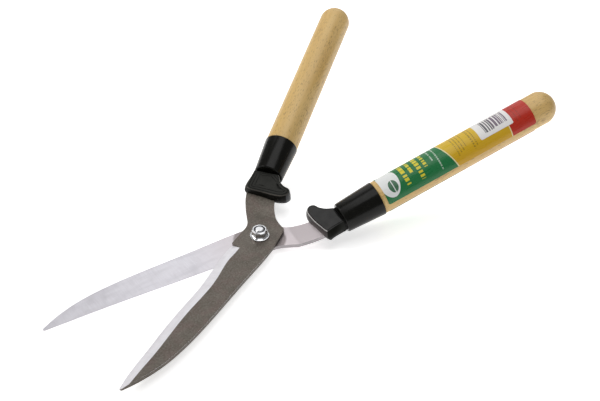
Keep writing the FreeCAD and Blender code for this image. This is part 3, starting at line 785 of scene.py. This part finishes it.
def add_neck(mesh):
    """The bumper's neck, a short bar with rounded corners that runs back to the ferrule, in the
    groove look's painted shade.
    """
    ring = []
    for sy, sz in ((1, 1), (-1, 1), (-1, -1), (1, -1)):
        for i in range(NECK_CORNER_STEPS + 1):
            turn = math.pi / 2 * i / NECK_CORNER_STEPS
            if sy * sz < 0:
                turn = math.pi / 2 - turn
            ring.append((sy * (NECK_HALF_WIDTH - NECK_CORNER + NECK_CORNER * math.cos(turn)),
                         sz * (NECK_HALF_HEIGHT - NECK_CORNER + NECK_CORNER * math.sin(turn))))
    ends = []
    for station in (NECK_FRONT, NECK_BACK):
        x = station * MM - BEND_TO_MOUTH
        ends.append([mesh.verts.new((x, y * MM, z * MM)) for y, z in ring])
    for i in range(len(ring)):
        j = (i + 1) % len(ring)
        face = mesh.faces.new((ends[0][i], ends[0][j], ends[1][j], ends[1][i]))
        face.material_index = BUMPER_SLOTS["shaded_groove"]
    for end in ends:
        mesh.faces.new(end).material_index = BUMPER_SLOTS["shaded_groove"]


def add_bumper(side, materials):
    """The moulded stop: a stepped top with a crisp rim, a rounded outer side and a short neck."""
    outlines = []
    for points in (BUMPER_GIRTH[side], BUMPER_FACE[side]):
        outline = catmull([Vector(p) for p in points], BUMPER_OUTLINE_STEPS)
        outlines.append(outline + [outline[-1].lerp(outline[0], i / BUMPER_BACK_STEPS)
                                   for i in range(1, BUMPER_BACK_STEPS)])
    girth, top_face = outlines
    spine = [Vector(p) for p in BUMPER_SPINE]
    out_sign = 1 if side == "front" else -1
    steps = BUMPER_STEPS[side]
    mesh = bmesh.new()

    def edge_point(i, z):
        """The block's outline at a height: the girth's, drawn in towards the top and the foot."""
        if z > BUMPER_MIDDLE:
            share = ((z - BUMPER_MIDDLE) / (BUMPER_TOP - BUMPER_MIDDLE)) ** BUMPER_CURVE
        else:
            share = ((BUMPER_MIDDLE - z) / (BUMPER_MIDDLE - BUMPER_BOTTOM)) ** BUMPER_CURVE
            share *= BUMPER_FOOT_SHRINK
        return girth[i].lerp(top_face[i], share)

    def vertex(i, z, inset=0.0):
        """A vertex at a height, inset from the outline towards the spine."""
        edge = edge_point(i, z)
        inward = nearest_on(spine, edge) - edge
        x, y = edge + inward.normalized() * min(inset, 0.9 * inward.length)
        return mesh.verts.new((x * MM - BEND_TO_MOUTH, out_sign * y * MM, z * MM))

    def wall_look(i, j):
        """The wall's look by the way it faces: the front, the toe's end or a side; these looks
        carry painted light and shade.
        """
        run = (girth[j] - girth[i]).normalized()
        if -run.y > 0.6:
            return "front"
        if run.x > 0.5 and girth[i].y < -20:
            return "lit_nose"
        return "side"

    low, high = BUMPER_BOTTOM + BUMPER_FOOT[-1][1], BUMPER_TOP - steps[0][1]
    wall_count = len(BUMPER_FOOT) + BUMPER_WALL_STEPS
    columns = []
    for i in range(len(girth)):
        column = [vertex(i, BUMPER_BOTTOM + z, inset) for inset, z in BUMPER_FOOT]
        for k in range(1, BUMPER_WALL_STEPS + 1):
            column.append(vertex(i, low + (high - low) * k / (BUMPER_WALL_STEPS + 1)))
        column += [vertex(i, BUMPER_TOP - depth, inset) for inset, depth, _ in steps]
        columns.append(column)
    for i, a in enumerate(columns):
        j = (i + 1) % len(columns)
        b = columns[j]
        wall = wall_look(i, j)
        for k in range(len(a) - 1):
            look = wall if k < wall_count else steps[k - wall_count][2]
            # the rim's painted highlight runs along the front and the toe only
            if look == "rim" and wall == "side":
                look = "top"
            face = mesh.faces.new((a[k], a[k + 1], b[k + 1], b[k]))
            face.material_index = BUMPER_SLOTS[look]
    caps = [mesh.faces.new([c[0] for c in columns]), mesh.faces.new([c[-1] for c in columns])]
    caps[0].material_index = BUMPER_SLOTS["side"]
    bmesh.ops.triangulate(mesh, faces=caps)
    bmesh.ops.dissolve_degenerate(mesh, edges=mesh.edges, dist=0.002 * MM)
    add_neck(mesh)
    data = finished(side + "_bumper_block", mesh)
    add_piece(data.name, data, handle_frame(side), BODIES[side], materials,
              side + "_bumper", smooth=20)


# ---- the pivot ----------------------------------------------------------------------
NUT_TURN = 42.0                 # degrees from +Z of PIVOT_UP's frame to a corner of the hexagon
NUT_FLAT_R = 6.5 * MM
NUT_CORNER_R = 7.25 * MM        # the corners are turned down to this
NUT_HEX_TOP = 10.4 * MM
NUT_TOP = 11.7 * MM
INSERT_SEAT = NUT_TOP - 1.9 * MM
PIVOT_UP = Matrix.Translation(PIVOT) @ Matrix.Rotation(math.radians(-90), 4, "Y")


def hex_radius(angle):
    """The hexagon's radius at an angle."""
    turn = (math.degrees(angle) - NUT_TURN) % 60 - 30
    return NUT_FLAT_R / math.cos(math.radians(turn))


def add_nut(material):
    """The flange lock nut: conical flange, hexagon with turned corners, rolled crown."""
    base, hex_top, top = PLATE + PLATE_GAP, NUT_HEX_TOP, NUT_TOP
    # kind, height, and radius or, on the flange's slope, how far it stands out from the hexagon
    rings = [("round", base, 4.05), ("round", base, 8.7), ("round", base + 0.3 * MM, 9.0),
             ("round", base + 0.95 * MM, 9.0), ("round", base + 1.15 * MM, 8.9),
             ("round", base + 1.25 * MM, 8.65), ("round", base + 1.3 * MM, 8.3),
             ("flange", base + 1.9 * MM, 0.75), ("flange", base + 2.3 * MM, 0.2),
             ("flange", base + 2.5 * MM, 0.03), ("hex", hex_top - 1.0 * MM, 0.0),
             ("hex", hex_top - 0.2 * MM, 0.0), ("round", hex_top, 6.62),
             ("round", hex_top + 0.1 * MM, 6.58), ("round", top - 0.45 * MM, 6.55),
             ("round", top - 0.15 * MM, 6.45), ("round", top, 6.2), ("round", top, 5.8),
             ("round", top - 0.1 * MM, 5.45), ("round", top - 0.35 * MM, 5.3),
             ("round", INSERT_SEAT, 5.3), ("round", INSERT_SEAT, 4.05)]
    tell_apart = 1e-9           # added per ring, so that its height finds it in kinds
    kinds = {}
    profile = []
    for index, (kind, height, radius) in enumerate(rings):
        profile.append((height + index * tell_apart, radius * MM))
        kinds[round(profile[-1][0], 12)] = (kind, radius * MM)

    def shape(x, r, angle):
        """A hexagon's ring follows its corners, which slope down from the crown."""
        kind, extra = kinds[round(x, 12)]
        if kind == "round":
            return x, r
        hexagon = min(hex_radius(angle), NUT_CORNER_R)
        if kind == "flange":
            return x, hexagon + extra
        slope = 0.55
        return x - slope * max(0.0, hexagon - NUT_FLAT_R), hexagon

    mesh = tube("pivot_lock_nut", profile, segments=144, shape=shape)
    add_piece(mesh.name, mesh, PIVOT_UP, "rear_half", [material], "pivot_nut",
              smooth=30)


def add_insert(material):
    """The nylon ring in the nut's crown, slightly swollen round the bolt."""
    points = [(INSERT_SEAT, 4.02), (INSERT_SEAT, 5.25), (NUT_TOP - 0.62 * MM, 5.25),
              (NUT_TOP - 0.42 * MM, 4.9), (NUT_TOP - 0.40 * MM, 4.4), (NUT_TOP - 0.55 * MM, 4.02)]
    mesh = tube("lock_ring", [(x, r * MM) for x, r in points])
    add_piece(mesh.name, mesh, PIVOT_UP, "rear_half", [material], "nut_insert",
              smooth=50)


def add_bolt(material):
    """The carriage bolt: a domed head below, and a chamfered, threaded end above."""
    radius, end, pitch = 4.0 * MM, 12.0 * MM, 1.25 * MM
    under = -(PLATE + PLATE_GAP / 2)
    head_r, rim, height = 10.0 * MM, 0.9 * MM, 4.6 * MM
    dome = height - rim
    ball = (head_r ** 2 + dome ** 2) / (2 * dome)
    profile = [(under - height, 0)]
    steps = 14
    for i in range(1, steps + 1):
        r = (head_r - 0.15 * MM) * i / steps
        profile.append((under - height + ball - math.sqrt(ball ** 2 - r ** 2), r))
    profile += [(under - rim + 0.1 * MM, head_r - 0.02 * MM), (under - 0.25 * MM, head_r),
                (under, head_r - 0.25 * MM), (under, radius)]
    x, thread_end = 3.7 * MM, end - 0.9 * MM
    while x < thread_end:
        profile += [(x, radius - 0.02 * MM), (x + pitch * 0.42, radius - 0.5 * MM)]
        x += pitch / 2
    profile += [(end - 0.7 * MM, radius - 0.05 * MM), (end - 0.12 * MM, radius - 0.62 * MM),
                (end, radius - 0.8 * MM), (end - 0.02 * MM, radius * 0.55),
                (end - 0.16 * MM, radius * 0.42), (end - 0.12 * MM, radius * 0.2),
                (end - 0.1 * MM, 0)]
    mesh = lathe("pivot_carriage_bolt", profile)
    add_piece(mesh.name, mesh, PIVOT_UP, "rear_half", [material], "pivot_bolt",
              smooth=30)


def add_all():
    place = blade_frame("front")
    # each blade's wall and lower-edge looks are darker copies of its steel: painted shade
    add_steel("front", [
        dark_steel_look("dark_blade_steel", place, 1.0),
        ground_steel_look("front_ground_bevel", place, (0.80, 0.78, 0.82), (0.90, 0.89, 0.93),
                          (0.50, 0.62), metal=0.35),
        # the front blade's edge look: rubbed steel with a painted highlight
        edge_wear_and_highlight_look("dark_edge_wear_and_highlight", place, (0.80, 0.77, 0.72), 0.4),
        dark_steel_look("dark_shaded_wall", place, 0.8),
        dark_steel_look("dark_shaded_lower_edge", place, 0.45)], 1)
    place = blade_frame("rear")
    add_steel("rear", [
        ground_steel_look("bright_blade_steel", place, (0.67, 0.65, 0.70), (0.80, 0.79, 0.84),
                          (0.36, 0.48), tang=(0.67, 0.61, 0.63)),
        ground_steel_look("rear_ground_bevel", place, (0.74, 0.72, 0.77), (0.88, 0.87, 0.91),
                          (0.34, 0.46)),
        edge_wear_and_highlight_look("bright_edge", place, (0.66, 0.64, 0.66)),
        ground_steel_look("rear_shaded_wall", place, (0.30, 0.28, 0.29), (0.42, 0.39, 0.40),
                          (0.40, 0.52)),
        dark_steel_look("rear_shaded_lower_edge", place, 0.3)], -1)
    for side, grain_shift, seed in (("front", (0, 0, 0), 0), ("rear", (0.4, 0.7, 0.2), 4)):
        add_bumper(side, bumper_looks(side))
        add_ferrule(side, ferrule_look(side))
        add_handle(side, wood_look(side, grain_shift), seed)
    label = wrapped_sheet("printed_sleeve", LABEL_START, LABEL_END, GRIP_R, LABEL_R, LABEL_LOW,
                          LABEL_WRAP, 0.05 * MM)
    add_piece(label.name, label, handle_frame("rear"), "rear_half", [label_look()],
              "product_label")
    sticker = wrapped_sheet("bar_sticker", STICKER_START, STICKER_END, LABEL_R, STICKER_R,
                            STICKER_LOW, STICKER_WRAP, 0.1 * MM)
    add_piece(sticker.name, sticker, handle_frame("rear"), "rear_half",
              [sticker_look()], "barcode_sticker")
    add_nut(zinc_look("zinc_plate"))
    add_insert(nylon_look())
    add_bolt(zinc_look("zinc_bolt", 0.24, 0.36))


# ---- stage, light and camera --------------------------------------------------------
def floor_look():
    k = Look("pale_floor")
    cloud = k.noise(k.stretched(3, 3, 3), detail=2)
    colour = k.mix(k.spread(cloud, 0.3, 0.7), (0.93, 0.93, 0.93), (0.95, 0.95, 0.95))
    return k.finish(colour, 0.75, 0.0, Emission_Color=(1, 1, 1, 1), Emission_Strength=0.62)


FLOOR_HALF = 12.0
LIGHTS = [                      # name, place, what it points at, size, watts, colour
    ("overhead", (-0.15, 0.05, 1.3), (0, 0, 0), (1.1, 1.1), 6.5, (1, 1, 1)),
    ("key", (1.5, -1.8, 1.9), (0, 0, 0.03), (1.0, 1.0), 36, (1.0, 0.98, 0.95)),
    ("back", (-0.95, -0.85, 0.95), (0, 0, 0), (1.4, 1.2), 5, (1, 1, 1))]
WORLD_STRENGTH = 0.20


def add_floor():
    mesh = bpy.data.meshes.new("floor")
    corners = [(x * FLOOR_HALF, y * FLOOR_HALF, 0) for x, y in ((-1, -1), (1, -1), (1, 1), (-1, 1))]
    mesh.from_pydata(corners, [], [(0, 1, 2, 3)])
    mesh.materials.append(floor_look())
    floor = bpy.data.objects.new("floor", mesh)
    bpy.context.scene.collection.objects.link(floor)


def aim(thing, place, target):
    thing.location = place
    thing.rotation_euler = (Vector(target) - Vector(place)).to_track_quat("-Z", "Y").to_euler()


def add_softbox(name, place, target, size, power, colour):
    data = bpy.data.lights.new(name, "AREA")
    data.shape = "RECTANGLE"
    data.size, data.size_y = size
    data.energy = power
    data.color = colour
    light = bpy.data.objects.new(name, data)
    bpy.context.scene.collection.objects.link(light)
    aim(light, place, target)


def add_light():
    world = bpy.data.worlds.new("studio")
    bpy.context.scene.world = world
    world.use_nodes = True
    background = world.node_tree.nodes["Background"]
    background.inputs["Color"].default_value = (1, 1, 1, 1)
    background.inputs["Strength"].default_value = WORLD_STRENGTH
    for light in LIGHTS:
        add_softbox(*light)


VIEW_AZIMUTH = 42.19            # of the camera's place, from +X towards +Y
VIEW_ELEVATION = 36.785
VIEW_DISTANCE = 0.963351
VIEW_TARGET = (-0.0691, -0.0122, 0.0)   # from the pivot
LENS = 59.25


def add_camera():
    azimuth, elevation = math.radians(VIEW_AZIMUTH), math.radians(VIEW_ELEVATION)
    away = Vector((math.cos(elevation) * math.cos(azimuth),
                   math.cos(elevation) * math.sin(azimuth), math.sin(elevation)))
    data = bpy.data.cameras.new("camera")
    data.sensor_width = 36.0
    data.lens = LENS
    camera = bpy.data.objects.new("camera", data)
    bpy.context.scene.collection.objects.link(camera)
    target = PIVOT + Vector(VIEW_TARGET)
    aim(camera, target + away * VIEW_DISTANCE, target)
    bpy.context.scene.camera = camera


add_all()
add_floor()
add_light()
add_camera()
bpy.context.scene.view_settings.view_transform = "Standard"
